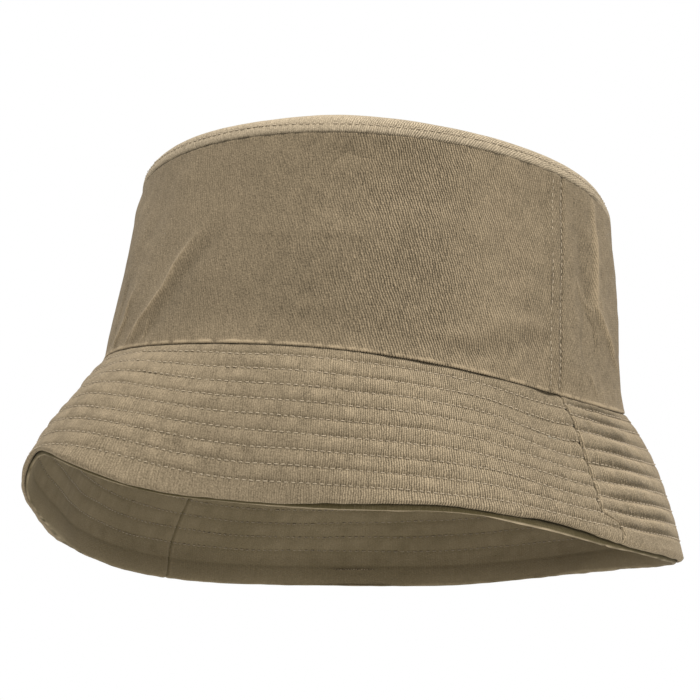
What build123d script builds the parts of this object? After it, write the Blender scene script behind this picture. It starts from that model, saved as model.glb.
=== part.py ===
from build123d import *
from math import cos, degrees, exp, radians, sin
import os

os.makedirs("parts", exist_ok=True)

# Bucket hat for a 58 cm head, sewn from cotton twill. Millimetres.
# Origin at the centre of the head opening, where the crown meets the brim.
# -Y is the front of the hat, +X the wearer's left, +Z up.
# An azimuth of 0 degrees is the wearer's left, 90 the back, 180 the right, 270 the front.

# Crown
HEAD_HALF_WIDTH = 84.0       # outside of the crown at the brim seam, across the head
HEAD_HALF_LENGTH = 104.0     # outside of the crown at the brim seam, front to back
SEAM_SADDLE = -4.4           # the brim seam is lower at the sides, higher front and back
SEAM_TWIST = 3.0             # and it undulates a little more on the way round
SEAM_WAVE_COS = -0.7
SEAM_WAVE_SIN = -2.4
TIP_HALF_WIDTH = 79.0        # outside of the crown at the top seam
TIP_HALF_LENGTH = 90.0
TIP_SHIFT_X = 1.0            # the worn crown leans a little to the left and the back
TIP_SHIFT_Y = 2.0
CROWN_HEIGHT = 65.5          # brim seam to top seam, on the axis
TIP_TILT_X = 6.5             # the top seam is higher on the left
TIP_TILT_Y = -9.5            # and lower at the back
DOME_RISE = 14.0             # top seam to the highest point
DOME_POWER = 2.8             # a flat top with a rounded shoulder

# Brim
BRIM_WIDTH = 57.0            # measured along the cloth
BRIM_DROOP = 64.5            # degrees below level
DROOP_WAVES = [(254, -20, 24), (142, -14, 36), (77, 10, 31), (290, 15, 34), (220, 6, 24)]
BRIM_CURL = 14.5             # degrees of extra droop from mid brim to the edge
CURL_WAVES = [(216, -13, 34), (337, -14, 36), (136, 8, 40)]
STITCH_ROWS = 9
FIRST_ROW = 4.0              # crown seam to the first row of stitching
ROW_PITCH = 5.75

# Side seams
SEAM_LEFT = -1.0
SEAM_RIGHT = 166.0
SIDE_STITCH_NEAR = 1.2       # two lines of stitching on the front panel, beside each seam
SIDE_STITCH_FAR = 6.2
TOP_STITCH_RISE = 3.0        # topstitching above the top seam

# Cloth
CROWN_CLOTH = 0.8            # twill with its fused backing
BRIM_CLOTH = 0.5
INTERLINING = 0.8
SWEATBAND_CLOTH = 0.8
SWEATBAND_HEIGHT = 30.0
TAPE_CLOTH = 0.4
TAPE_WIDTH = 12.0
THREAD = 0.35                # thickness of the thread as it lies on the cloth
THREAD_WIDTH = 0.7
PLY_GAP = 0.08               # air between plies
SEAM_GAP = 0.15              # clearance where two panels meet


def waves(azimuth, level, lobes):
    """A level with smooth lobes on it, each an azimuth, a height and a spread in degrees."""
    for middle, height, spread in lobes:
        apart = (azimuth - middle + 180) % 360 - 180
        level += height * exp(-((apart / spread) ** 2))
    return level


def outward(azimuth):
    """Level direction pointing away from the hat, square to the brim seam."""
    t = radians(azimuth)
    return Vector(cos(t) / HEAD_HALF_WIDTH, sin(t) / HEAD_HALF_LENGTH, 0).normalized()


def brim_seam(azimuth):
    t = radians(azimuth)
    lift = SEAM_SADDLE * cos(2 * t) + SEAM_TWIST * sin(2 * t)
    lift += SEAM_WAVE_COS * cos(3 * t) + SEAM_WAVE_SIN * sin(3 * t)
    return Vector(HEAD_HALF_WIDTH * cos(t), HEAD_HALF_LENGTH * sin(t), lift)


def top_seam(azimuth):
    t = radians(azimuth)
    return Vector(
        TIP_SHIFT_X + TIP_HALF_WIDTH * cos(t),
        TIP_SHIFT_Y + TIP_HALF_LENGTH * sin(t),
        CROWN_HEIGHT + TIP_TILT_X * cos(t) + TIP_TILT_Y * sin(t),
    )


def wall_plane(azimuth):
    """Section plane of the crown wall: origin on the brim seam, x out of the cloth, y up it."""
    low, high = brim_seam(azimuth), top_seam(azimuth)
    up = (high - low).normalized()
    flat = outward(azimuth)
    out = (flat - up * flat.dot(up)).normalized()
    return Plane(origin=low, x_dir=out, z_dir=out.cross(up))


def wall_height(azimuth):
    return (top_seam(azimuth) - brim_seam(azimuth)).length


def brim_plane(azimuth):
    """Section plane of the brim: origin on the brim seam, x level and outward, y straight up."""
    out = outward(azimuth)
    return Plane(origin=brim_seam(azimuth), x_dir=out, z_dir=out.cross(Vector(0, 0, 1)))


def brim_slope(azimuth, along):
    curl = waves(azimuth, BRIM_CURL, CURL_WAVES)
    return waves(azimuth, BRIM_DROOP, DROOP_WAVES) + curl * (2 * along / BRIM_WIDTH - 1)


def brim_point(azimuth, along, depth):
    """A point of the brim section, a distance along the cloth and a depth under its face."""
    x = y = 0.0
    piece = along / 16
    for k in range(16):
        slope = radians(brim_slope(azimuth, (k + 0.5) * piece))
        x += piece * cos(slope)
        y -= piece * sin(slope)
    slope = radians(brim_slope(azimuth, along))
    return (x - depth * sin(slope), y - depth * cos(slope))


def stations(start, end, count=25):
    return [start + (end - start) * k / (count - 1) for k in range(count)]


def wall_section(azimuth, top, bottom, low, high):
    """A crown ply lying between two depths, from a height up the wall to a height below its top."""
    length = wall_height(azimuth) - low - high
    with BuildSketch(wall_plane(azimuth)) as section:
        with Locations((-(top + bottom) / 2, low + length / 2)):
            Rectangle(bottom - top, length)
    return section.sketch


def band_section(azimuth, top, bottom, low, width):
    """A narrower ply of fixed width, starting at a height up the wall."""
    with BuildSketch(wall_plane(azimuth)) as section:
        with Locations((-(top + bottom) / 2, low + width / 2)):
            Rectangle(bottom - top, width)
    return section.sketch


def brim_section(azimuth, top, bottom, outer):
    """A brim ply lying between two depths, from the crown seam to a distance along the cloth."""
    steps = [SEAM_GAP + (outer - SEAM_GAP) * k / 5 for k in range(6)]
    upper = [brim_point(azimuth, s, top) for s in steps]
    lower = [brim_point(azimuth, s, bottom) for s in steps]
    with BuildSketch(brim_plane(azimuth)) as section:
        with BuildLine():
            Spline(upper)
            Line(upper[-1], lower[-1])
            Spline(lower[::-1])
            Line(lower[0], upper[0])
        make_face()
    return section.sketch


def row_section(azimuth, along, depth):
    """A line of thread lying along the brim, centred at a depth under its upper face."""
    with BuildSketch(brim_plane(azimuth)) as section:
        with Locations(brim_point(azimuth, along, depth)):
            Rectangle(THREAD_WIDTH, THREAD, rotation=-brim_slope(azimuth, along))
    return section.sketch


# The front panels run from the right seam through the front to the left seam.
TURN_GAP = degrees(SEAM_GAP / 2 / HEAD_HALF_LENGTH)
FRONT = stations(SEAM_RIGHT + TURN_GAP, SEAM_LEFT + 360 - TURN_GAP)
BACK = stations(SEAM_LEFT + TURN_GAP, SEAM_RIGHT - TURN_GAP)

TIP_PLANE = Plane(
    origin=(TIP_SHIFT_X, TIP_SHIFT_Y, CROWN_HEIGHT),
    x_dir=(TIP_HALF_WIDTH, 0, TIP_TILT_X),
    z_dir=(-TIP_TILT_X / TIP_HALF_WIDTH, -TIP_TILT_Y / TIP_HALF_LENGTH, 1),
)


def tip_section(angle, depth):
    """An oval across the tip at an angle up its shoulder, a depth inside its outer face."""
    shrink = cos(radians(angle)) ** (2 / DOME_POWER)
    rise = (DOME_RISE - depth) * sin(radians(angle)) ** (2 / DOME_POWER)
    with BuildSketch(TIP_PLANE.offset(PLY_GAP + rise)) as section:
        Ellipse((TIP_HALF_WIDTH - depth) * shrink, (TIP_HALF_LENGTH - depth) * shrink)
    return section.sketch


SHOULDER = [0, 5, 10, 16, 23, 31, 40, 50, 61, 74]

with BuildPart() as crown_top:
    loft([tip_section(angle, 0) for angle in SHOULDER], ruled=True)
    loft([tip_section(angle, CROWN_CLOTH) for angle in SHOULDER], ruled=True, mode=Mode.SUBTRACT)
crown_top.part.label = "crown_top"
export_step(crown_top.part, "parts/crown_top.step")

with BuildPart() as crown_side_front:
    loft([wall_section(a, 0, CROWN_CLOTH, 0, 0) for a in FRONT])
crown_side_front.part.label = "crown_side_front"
export_step(crown_side_front.part, "parts/crown_side_front.step")

with BuildPart() as crown_side_back:
    loft([wall_section(a, 0, CROWN_CLOTH, 0, 0) for a in BACK])
crown_side_back.part.label = "crown_side_back"
export_step(crown_side_back.part, "parts/crown_side_back.step")

UPPER_TOP, UPPER_BOTTOM = 0.0, BRIM_CLOTH
CORE_TOP = UPPER_BOTTOM + PLY_GAP
CORE_BOTTOM = CORE_TOP + INTERLINING
UNDER_TOP = CORE_BOTTOM + PLY_GAP
UNDER_BOTTOM = UNDER_TOP + BRIM_CLOTH
CORE_MARGIN = 1.5            # the interlining stops short of the edge

with BuildPart() as brim_upper_front:
    loft([brim_section(a, UPPER_TOP, UPPER_BOTTOM, BRIM_WIDTH) for a in FRONT])
brim_upper_front.part.label = "brim_upper_front"
export_step(brim_upper_front.part, "parts/brim_upper_front.step")

with BuildPart() as brim_upper_back:
    loft([brim_section(a, UPPER_TOP, UPPER_BOTTOM, BRIM_WIDTH) for a in BACK])
brim_upper_back.part.label = "brim_upper_back"
export_step(brim_upper_back.part, "parts/brim_upper_back.step")

with BuildPart() as brim_interlining_front:
    loft([brim_section(a, CORE_TOP, CORE_BOTTOM, BRIM_WIDTH - CORE_MARGIN) for a in FRONT])
brim_interlining_front.part.label = "brim_interlining_front"
export_step(brim_interlining_front.part, "parts/brim_interlining_front.step")

with BuildPart() as brim_interlining_back:
    loft([brim_section(a, CORE_TOP, CORE_BOTTOM, BRIM_WIDTH - CORE_MARGIN) for a in BACK])
brim_interlining_back.part.label = "brim_interlining_back"
export_step(brim_interlining_back.part, "parts/brim_interlining_back.step")

with BuildPart() as brim_under_front:
    loft([brim_section(a, UNDER_TOP, UNDER_BOTTOM, BRIM_WIDTH) for a in FRONT])
brim_under_front.part.label = "brim_under_front"
export_step(brim_under_front.part, "parts/brim_under_front.step")

with BuildPart() as brim_under_back:
    loft([brim_section(a, UNDER_TOP, UNDER_BOTTOM, BRIM_WIDTH) for a in BACK])
brim_under_back.part.label = "brim_under_back"
export_step(brim_under_back.part, "parts/brim_under_back.step")

# Inside the crown: seam tapes against the wall behind the side stitching, then the sweatband
# over their lower ends.
TAPE_TOP = CROWN_CLOTH + PLY_GAP
TAPE_BOTTOM = TAPE_TOP + TAPE_CLOTH
BAND_TOP = TAPE_BOTTOM + PLY_GAP
BAND_BOTTOM = BAND_TOP + SWEATBAND_CLOTH
BAND_LIFT = 0.5
HALF_TAPE = degrees(TAPE_WIDTH / 2 / HEAD_HALF_LENGTH)
TAPE_SHIFT = degrees((SIDE_STITCH_NEAR + SIDE_STITCH_FAR) / 2 / HEAD_HALF_LENGTH)
ROUND = stations(0, 180, 19), stations(180, 360, 19)

with BuildPart() as sweatband:
    for half in ROUND:
        loft([band_section(a, BAND_TOP, BAND_BOTTOM, BAND_LIFT, SWEATBAND_HEIGHT) for a in half])
sweatband.part.label = "sweatband"
export_step(sweatband.part, "parts/sweatband.step")

with BuildPart() as side_seam_tape_left:
    middle = SEAM_LEFT - TAPE_SHIFT
    ends = stations(middle - HALF_TAPE, middle + HALF_TAPE, 3)
    loft([wall_section(a, TAPE_TOP, TAPE_BOTTOM, BAND_LIFT, 1) for a in ends])
side_seam_tape_left.part.label = "side_seam_tape_left"
export_step(side_seam_tape_left.part, "parts/side_seam_tape_left.step")

with BuildPart() as side_seam_tape_right:
    middle = SEAM_RIGHT + TAPE_SHIFT
    ends = stations(middle - HALF_TAPE, middle + HALF_TAPE, 3)
    loft([wall_section(a, TAPE_TOP, TAPE_BOTTOM, BAND_LIFT, 1) for a in ends])
side_seam_tape_right.part.label = "side_seam_tape_right"
export_step(side_seam_tape_right.part, "parts/side_seam_tape_right.step")


def top_tape_section(azimuth):
    """The tape over the top seam, just under the crown tip."""
    low = wall_height(azimuth) - TAPE_WIDTH - 1
    return band_section(azimuth, BAND_TOP, BAND_TOP + TAPE_CLOTH, low, TAPE_WIDTH)


with BuildPart() as top_seam_tape:
    for half in ROUND:
        loft([top_tape_section(a) for a in half])
top_seam_tape.part.label = "top_seam_tape"
export_step(top_seam_tape.part, "parts/top_seam_tape.step")

# Thread. Each brim row is one needle thread on top and one bobbin thread below.
NEEDLE_DEPTH = -PLY_GAP - THREAD / 2
BOBBIN_DEPTH = UNDER_BOTTOM + PLY_GAP + THREAD / 2

for row in range(STITCH_ROWS):
    along = FIRST_ROW + ROW_PITCH * row
    with BuildPart() as brim_stitch_row:
        for half in (BACK, FRONT):
            loft([row_section(a, along, NEEDLE_DEPTH) for a in half])
            loft([row_section(a, along, BOBBIN_DEPTH) for a in half])
    brim_stitch_row.part.label = f"brim_stitch_row_{row + 1}"
    export_step(brim_stitch_row.part, f"parts/brim_stitch_row_{row + 1}.step")

with BuildPart() as top_stitch:
    with BuildSketch(TIP_PLANE.offset(TOP_STITCH_RISE)):
        Ellipse(TIP_HALF_WIDTH + PLY_GAP + THREAD, TIP_HALF_LENGTH + PLY_GAP + THREAD)
        Ellipse(TIP_HALF_WIDTH + PLY_GAP, TIP_HALF_LENGTH + PLY_GAP, mode=Mode.SUBTRACT)
    extrude(amount=THREAD_WIDTH)
top_stitch.part.label = "top_stitch"
export_step(top_stitch.part, "parts/top_stitch.step")


NEAR_STEP = degrees(SIDE_STITCH_NEAR / HEAD_HALF_LENGTH)
FAR_STEP = degrees(SIDE_STITCH_FAR / HEAD_HALF_LENGTH)
SIDE_WIDTH = degrees(THREAD_WIDTH / HEAD_HALF_LENGTH)
SIDE_LINES = {
    "side_stitch_left_near": SEAM_LEFT - NEAR_STEP,
    "side_stitch_left_far": SEAM_LEFT - FAR_STEP,
    "side_stitch_right_near": SEAM_RIGHT + NEAR_STEP,
    "side_stitch_right_far": SEAM_RIGHT + FAR_STEP,
}

for name, azimuth in SIDE_LINES.items():
    ends = azimuth - SIDE_WIDTH / 2, azimuth + SIDE_WIDTH / 2
    with BuildPart() as side_stitch:
        loft([wall_section(a, -PLY_GAP - THREAD, -PLY_GAP, 1, 1) for a in ends])
    side_stitch.part.label = name
    export_step(side_stitch.part, f"parts/{name}.step")

with BuildPart() as sweatband_stitch:
    for half in ROUND:
        depths = BAND_BOTTOM + PLY_GAP, BAND_BOTTOM + PLY_GAP + THREAD
        loft([band_section(a, *depths, BAND_LIFT + 2, THREAD_WIDTH) for a in half])
sweatband_stitch.part.label = "sweatband_stitch"
export_step(sweatband_stitch.part, "parts/sweatband_stitch.step")
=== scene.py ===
"""A khaki cotton-twill bucket hat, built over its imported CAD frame.

Lengths are in millimetres until a mesh is made, and angles in degrees. An azimuth of 0 is the wearer's left
(+X), 90 the back, 180 the right and 270 the front."""

import math

import bpy
import numpy as np
from mathutils import Matrix, Vector


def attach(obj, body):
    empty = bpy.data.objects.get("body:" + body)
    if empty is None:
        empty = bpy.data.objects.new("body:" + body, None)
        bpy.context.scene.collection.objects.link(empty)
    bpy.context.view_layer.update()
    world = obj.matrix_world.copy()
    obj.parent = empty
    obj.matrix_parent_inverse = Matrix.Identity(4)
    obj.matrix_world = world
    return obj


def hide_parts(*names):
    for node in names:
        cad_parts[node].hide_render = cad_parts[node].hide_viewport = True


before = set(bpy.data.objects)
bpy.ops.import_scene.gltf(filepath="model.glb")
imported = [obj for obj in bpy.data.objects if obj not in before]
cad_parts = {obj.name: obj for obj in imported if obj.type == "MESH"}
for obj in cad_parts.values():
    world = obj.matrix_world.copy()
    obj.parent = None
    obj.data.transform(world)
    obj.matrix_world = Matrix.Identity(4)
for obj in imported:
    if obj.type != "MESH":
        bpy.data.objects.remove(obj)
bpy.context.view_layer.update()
TAU = 2 * math.pi

# The hat's own sizes, the same as the CAD model's.
HEAD = (84.0, 104.0)  # half width and half length of the crown's foot
SEAM_COS2, SEAM_SIN2, SEAM_COS3, SEAM_SIN3 = -4.4, 3.0, -0.7, -2.4
TIP = (79.0, 90.0)  # half width and half length of the tip
TIP_SHIFT = (1.0, 2.0)
TIP_TILT = (6.5, -9.5)
CROWN_HEIGHT = 65.5
DOME_RISE, DOME_POWER = 14.0, 2.8
BRIM_WIDTH = 57.0
BRIM_DROOP = 64.5
DROOP_WAVES = [(254, -20, 24), (142, -14, 36), (77, 10, 31), (290, 15, 34), (220, 6, 24)]
BRIM_CURL = 14.5
CURL_WAVES = [(216, -13, 34), (337, -14, 36), (136, 8, 40)]
ROW_PITCH = 5.75
ROWS = [4.0 + ROW_PITCH * k for k in range(9)]
SEAM_LEFT, SEAM_RIGHT = -1.0, 166.0
ARC = HEAD[1] * math.radians(1)  # mm to a degree at the sides
SIDE_STITCH = (1.2, 6.2)
TOP_STITCH = 3.3
CROWN_CLOTH = 0.8
WALL_RISE = 72.0  # about the crown wall's height along its slope
BRIM_DEPTH = 1.96  # from the upper cloth's face to the under cloth's
TAPE_DEPTH, TAPE_WIDTH, TAPE_SHIFT = 0.88, 12.0, 3.7
BAND_DEPTH, BAND_CLOTH, BAND_HEIGHT = 1.36, 0.8, 30.0
STITCH_PITCH, STITCH_LENGTH = 2.4, 1.75

# The turned edges of the brim: the radius of each cloth's roll, how far the lip stands past the full width,
# and how far the turned cloth reaches back inside.
UPPER_ROLL, LIP_ROLL, LIP_PAST, TUCK = 1.1, 0.7, 0.5, 5.0

# Seeds of each panel's unevenness, and how plump the under brim is next to the upper.
UPPER_SEED = {"front": 11, "back": 31}
UNDER_SEED = {"front": 51, "back": 71}
WALL_SEED = {"front": 211, "back": 231}
UNDER_PUFF = 0.5

# How many mm of flat cloth go to a degree round the brim, the crown wall, the top seam and the sweatband.
BRIM_ARC, WALL_ARC, TOP_ARC, BAND_ARC = 2.05, 1.62, 1.5, 1.6

RIPPLE_WAVES = 28  # waves added up in each ripple

PANELS = {"front": (SEAM_RIGHT, SEAM_LEFT + 360.0), "back": (SEAM_LEFT, SEAM_RIGHT)}
FULL_TURN = np.linspace(0, 360, 421)


# ---------------------------------------------------------------- shape of the hat

def waves(azimuth, level, lobes):
    """A level with smooth lobes on it, each an azimuth, a height and a spread in degrees."""
    out = level + 0.0 * azimuth
    for middle, height, spread in lobes:
        apart = (azimuth - middle + 180.0) % 360.0 - 180.0
        out = out + height * np.exp(-((apart / spread) ** 2))
    return out


def bump(x, middle, width):
    """1 at the middle, fading smoothly to 0 either side."""
    return np.exp(-(((x - middle) / width) ** 2))


def step(x, low, high):
    """Smoothly from 0 at low to 1 at high."""
    t = np.clip((x - low) / (high - low), 0.0, 1.0)
    return t * t * (3.0 - 2.0 * t)


def unit(v):
    return v / np.maximum(np.linalg.norm(v, axis=-1, keepdims=True), 1e-9)


def seam_line(azimuth):
    """The seam between crown and brim."""
    t = np.radians(azimuth)
    lift = SEAM_COS2 * np.cos(2 * t) + SEAM_SIN2 * np.sin(2 * t)
    lift = lift + SEAM_COS3 * np.cos(3 * t) + SEAM_SIN3 * np.sin(3 * t)
    return np.stack([HEAD[0] * np.cos(t), HEAD[1] * np.sin(t), lift], -1)


def outward(azimuth):
    """The level direction out of the hat."""
    t = np.radians(azimuth)
    return unit(np.stack([np.cos(t) / HEAD[0], np.sin(t) / HEAD[1], 0 * t], -1))


def top_line(azimuth):
    """The seam between the crown's wall and its tip."""
    t = np.radians(azimuth)
    x, y = TIP_SHIFT[0] + TIP[0] * np.cos(t), TIP_SHIFT[1] + TIP[1] * np.sin(t)
    return np.stack([x, y, CROWN_HEIGHT + TIP_TILT[0] * np.cos(t) + TIP_TILT[1] * np.sin(t)], -1)


def wall(azimuth, share):
    """The crown's outer face, from 0 at the brim seam to 1 at the top seam."""
    share = np.asarray(share)[..., None]
    return seam_line(azimuth) * (1 - share) + top_line(azimuth) * share


def brim(azimuth, along):
    """The brim's upper face, a distance along the cloth from the crown seam, and its slope there."""
    droop = waves(azimuth, BRIM_DROOP, DROOP_WAVES)
    curl = waves(azimuth, BRIM_CURL, CURL_WAVES)
    out = down = 0.0 * azimuth * along
    for k in range(16):
        slope = np.radians(droop + curl * (2 * (k + 0.5) / 16 * along / BRIM_WIDTH - 1))
        out, down = out + along / 16 * np.cos(slope), down + along / 16 * np.sin(slope)
    place = seam_line(azimuth) + outward(azimuth) * out[..., None]
    place[..., 2] -= down
    slope = np.radians(droop + curl * (2 * along / BRIM_WIDTH - 1))
    return place, slope


def brim_frame(azimuth, along):
    """A place on the brim with its two directions: on along the cloth, and out of its upper face."""
    place, slope = brim(azimuth, along)
    flat, up = outward(azimuth), np.array([0.0, 0.0, 1.0])
    on = flat * np.cos(slope)[..., None] - up * np.sin(slope)[..., None]
    face = flat * np.sin(slope)[..., None] + up * np.cos(slope)[..., None]
    return place, on, face


def tip(azimuth, shoulder):
    """The crown tip's outer face, from an angle of 0 at the rim to 90 at the middle."""
    a = np.radians(np.clip(shoulder, 0.0, 90.0))
    shrink, rise = np.cos(a) ** (2 / DOME_POWER), np.sin(a) ** (2 / DOME_POWER)
    centre = np.array([TIP_SHIFT[0], TIP_SHIFT[1], CROWN_HEIGHT])
    axis = unit(np.array([-TIP_TILT[0] / TIP[0], -TIP_TILT[1] / TIP[1], 1.0]))
    return centre + (top_line(azimuth) - centre) * shrink[..., None] + axis * DOME_RISE * rise[..., None]


def ripple(x, y, seed, shortest, longest):
    """Smooth seeded unevenness of about unit height, made of waves between two lengths in mm."""
    rng = np.random.default_rng(seed)
    out = 0.0 * x
    for _ in range(RIPPLE_WAVES):
        length = shortest * (longest / shortest) ** rng.random()
        turn, phase = rng.random() * TAU, rng.random() * TAU
        out = out + np.sin(TAU / length * (x * math.cos(turn) + y * math.sin(turn)) + phase)
    return out / math.sqrt(RIPPLE_WAVES / 2)


def ripple_round(azimuth, along, seed, shortest, longest):
    """The same unevenness, but unbroken all the way round the hat."""
    t = np.radians(azimuth)
    return ripple(100 * np.cos(t) + 0.5 * along, 100 * np.sin(t) - 0.8 * along, seed, shortest, longest)


def rib_relief_and_painted_rake(azimuth):
    """How strongly the twill's ribs show in relief and colour: faint at the left front, strong at the right
    front, where their colour contrast is painted raking light.
    """
    lobes = [(252, -0.35, 30), (284, -0.42, 18), (321, 0.65, 16), (345, 0.12, 12), (12, -0.1, 16)]
    return waves(azimuth, 0.75, lobes)


# ---------------------------------------------------------------- meshes

def face_normals(points, outwards):
    """Normals of a grid of points, on the side that the vectors outwards lie."""
    n = unit(np.cross(np.gradient(points, axis=0), np.gradient(points, axis=1)))
    return n * np.sign((n * outwards).sum(-1, keepdims=True))


def make_piece(name, grids, material, node):
    """One object from grids, each of points, places on the flat cloth, a tone, and whether it winds back."""
    points, flats, tones_and_shades, quads, start = [], [], [], [], 0
    for p, flat, tone_and_shade, flip in grids:
        m, n = p.shape[:2]
        index = np.arange(m * n).reshape(m, n) + start
        a, b, c, d = index[:-1, :-1], index[1:, :-1], index[1:, 1:], index[:-1, 1:]
        loop = (a, d, c, b) if flip else (a, b, c, d)
        quads.append(np.stack(loop, -1).reshape(-1, 4))
        points.append(p.reshape(-1, 3))
        flats.append(flat.reshape(-1, 2))
        tones_and_shades.append(np.broadcast_to(tone_and_shade, (m, n)).reshape(-1))
        start += m * n
    points, flats = np.concatenate(points) * 0.001, np.concatenate(flats) * 0.001
    tones_and_shades, quads = np.concatenate(tones_and_shades), np.concatenate(quads)
    return mesh_object(name, points, quads, flats, tones_and_shades, material, node)


def mesh_object(name, points, quads, flats, tones_and_shades, material, node):
    """A smooth mesh that carries its flat cloth as UVs, and as attributes its tone, which holds painted shade
    and highlights, and the ribs' strength, which the colour uses as painted raking light.
    """
    mesh = bpy.data.meshes.new(name)
    mesh.vertices.add(len(points))
    mesh.vertices.foreach_set("co", points.astype(np.float32).ravel())
    mesh.loops.add(quads.size)
    mesh.loops.foreach_set("vertex_index", quads.astype(np.int32).ravel())
    mesh.polygons.add(len(quads))
    mesh.polygons.foreach_set("loop_start", np.arange(0, quads.size, 4, dtype=np.int32))
    mesh.polygons.foreach_set("use_smooth", np.full(len(quads), True))
    mesh.update(calc_edges=True)
    layer = mesh.uv_layers.new(name="flat")
    layer.data.foreach_set("uv", flats[quads.ravel()].astype(np.float32).ravel())
    tone_and_shade = mesh.attributes.new("tone_and_shade", "FLOAT", "POINT")
    tone_and_shade.data.foreach_set("value", tones_and_shades.astype(np.float32))
    # The ribs' strength round the hat: real relief, and the colour's painted raking light.
    relief_and_rake = mesh.attributes.new("relief_and_rake", "FLOAT", "POINT")
    around = np.degrees(np.arctan2(points[:, 1], points[:, 0]))
    relief_and_rake.data.foreach_set("value", rib_relief_and_painted_rake(around).astype(np.float32))
    mesh.validate()
    piece = bpy.data.objects.new(name, mesh)
    bpy.context.scene.collection.objects.link(piece)
    piece.data.materials.append(material)
    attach(piece, "root")
    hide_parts(node)
    return piece


def along_path(path, extra):
    """Arc length along a path of points, and a function that reads rows of extra at given lengths."""
    length = np.concatenate([[0.0], np.cumsum(np.linalg.norm(np.diff(path, axis=0), axis=1))])
    table = np.concatenate([path, extra], axis=1)

    def read(at):
        return np.stack([np.interp(at, length, column) for column in table.T], -1)

    return length[-1], read


def stitches(path, faces, seed, tone_and_shade=0.5):
    """A line of single stitches that dip into the cloth at both ends, as points, quads, flats and tones."""
    pitch, length, width, height = STITCH_PITCH, STITCH_LENGTH, 0.42, 0.3
    total, read = along_path(path, faces)
    count = max(1, int(round(total / pitch)))
    rng = np.random.default_rng(seed)
    middle = (np.arange(count) + 0.5) * total / count + rng.normal(0, 0.05, count)
    here, ahead, behind = read(middle), read(middle + 0.8), read(middle - 0.8)
    face = unit(here[:, 3:])
    on = unit(ahead[:, :3] - behind[:, :3])
    side = unit(np.cross(face, on) + on * rng.normal(0, 0.05, (count, 1)))
    on = unit(np.cross(side, face))
    rings, turns = 7, 8
    along = np.linspace(-1, 1, rings)
    round_off = np.sqrt(np.clip(1 - np.abs(along) ** 4, 0.03, 1))
    angle = np.arange(turns) * TAU / turns
    reach = length * (1 + rng.normal(0, 0.05, count))
    lift = rng.normal(0, 0.06, count)
    points = np.zeros((count, rings, turns, 3))
    for r in range(rings):
        centre = here[:, :3] + on * (along[r] * reach / 2)[:, None]
        centre = centre + face * (height * (0.45 - 0.85 * abs(along[r]) ** 3.5) + lift)[:, None]
        for a in range(turns):
            across = math.cos(angle[a]) * width / 2 * round_off[r]
            over = math.sin(angle[a]) * height / 2 * round_off[r]
            points[:, r, a] = centre + side * across + face * over
    quads = []
    for r in range(rings - 1):
        for a in range(turns):
            b = (a + 1) % turns
            quads.append((r * turns + a, r * turns + b, (r + 1) * turns + b, (r + 1) * turns + a))
    quads = np.array(quads)[None] + (np.arange(count) * rings * turns)[:, None, None]
    flat = np.zeros((count, rings, turns, 2))
    flat[..., 0] = middle[:, None, None] + along[None, :, None] * length / 2
    flat[..., 1] = angle[None, None, :] / TAU * 2.0
    return points.reshape(-1, 3), quads.reshape(-1, 4), flat.reshape(-1, 2), np.full(points.size // 3, tone_and_shade)


def stitch_piece(name, lines, node):
    """One object from several lines of stitching."""
    points, quads, flats, tones_and_shades, start = [], [], [], [], 0
    for p, q, f, tone_and_shade in lines:
        points.append(p)
        quads.append(q + start)
        flats.append(f)
        tones_and_shades.append(tone_and_shade)
        start += len(p)
    points, flats = np.concatenate(points) * 0.001, np.concatenate(flats) * 0.001
    tones_and_shades, quads = np.concatenate(tones_and_shades), np.concatenate(quads)
    return mesh_object(name, points, quads, flats, tones_and_shades, THREAD, node)


# ---------------------------------------------------------------- materials

class Shader:
    """A short way to write a material's nodes."""

    def __init__(self, name):
        self.material = bpy.data.materials.new(name)
        self.material.use_nodes = True
        self.tree = self.material.node_tree
        self.shader = self.tree.nodes["Principled BSDF"]

    def node(self, kind, **settings):
        made = self.tree.nodes.new(kind)
        for key, value in settings.items():
            setattr(made, key, value)
        return made

    def join(self, source, socket):
        if isinstance(source, (int, float, tuple)):
            socket.default_value = source
        else:
            self.tree.links.new(source, socket)

    def math(self, operation, a, b=0.0, c=None, clamp=False):
        made = self.node("ShaderNodeMath", operation=operation, use_clamp=clamp)
        self.join(a, made.inputs[0])
        self.join(b, made.inputs[1])
        if c is not None:
            self.join(c, made.inputs[2])
        return made.outputs[0]

    def flat_cloth(self):
        """Places on the flat cloth, in mm."""
        made = self.node("ShaderNodeVectorMath", operation="SCALE")
        self.join(self.node("ShaderNodeUVMap", uv_map="flat").outputs[0], made.inputs[0])
        made.inputs["Scale"].default_value = 1000.0
        return made.outputs[0]

    def split(self, vector):
        made = self.node("ShaderNodeSeparateXYZ")
        self.join(vector, made.inputs[0])
        return made.outputs[0], made.outputs[1]

    def pair(self, x, y):
        made = self.node("ShaderNodeCombineXYZ")
        self.join(x, made.inputs[0])
        self.join(y, made.inputs[1])
        return made.outputs[0]

    def attribute(self, name):
        return self.node("ShaderNodeAttribute", attribute_name=name).outputs["Fac"]

    def noise(self, place, scale, detail=2.0, roughness=0.5):
        made = self.node("ShaderNodeTexNoise")
        self.join(place, made.inputs["Vector"])
        made.inputs["Scale"].default_value = scale
        made.inputs["Detail"].default_value = detail
        made.inputs["Roughness"].default_value = roughness
        return made.outputs["Fac"]

    def blend(self, factor, low, high):
        """A mix of two colours, by the node's colour sockets A, B and result."""
        made = self.node("ShaderNodeMix", data_type="RGBA")
        self.join(factor, made.inputs["Factor"])
        self.join(low, made.inputs[6])
        self.join(high, made.inputs[7])
        return made.outputs[2]

    def relief(self, height, depth):
        made = self.node("ShaderNodeBump")
        made.inputs["Strength"].default_value = 1.0
        made.inputs["Distance"].default_value = depth
        self.join(height, made.inputs["Height"])
        self.join(made.outputs[0], self.shader.inputs["Normal"])


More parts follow.
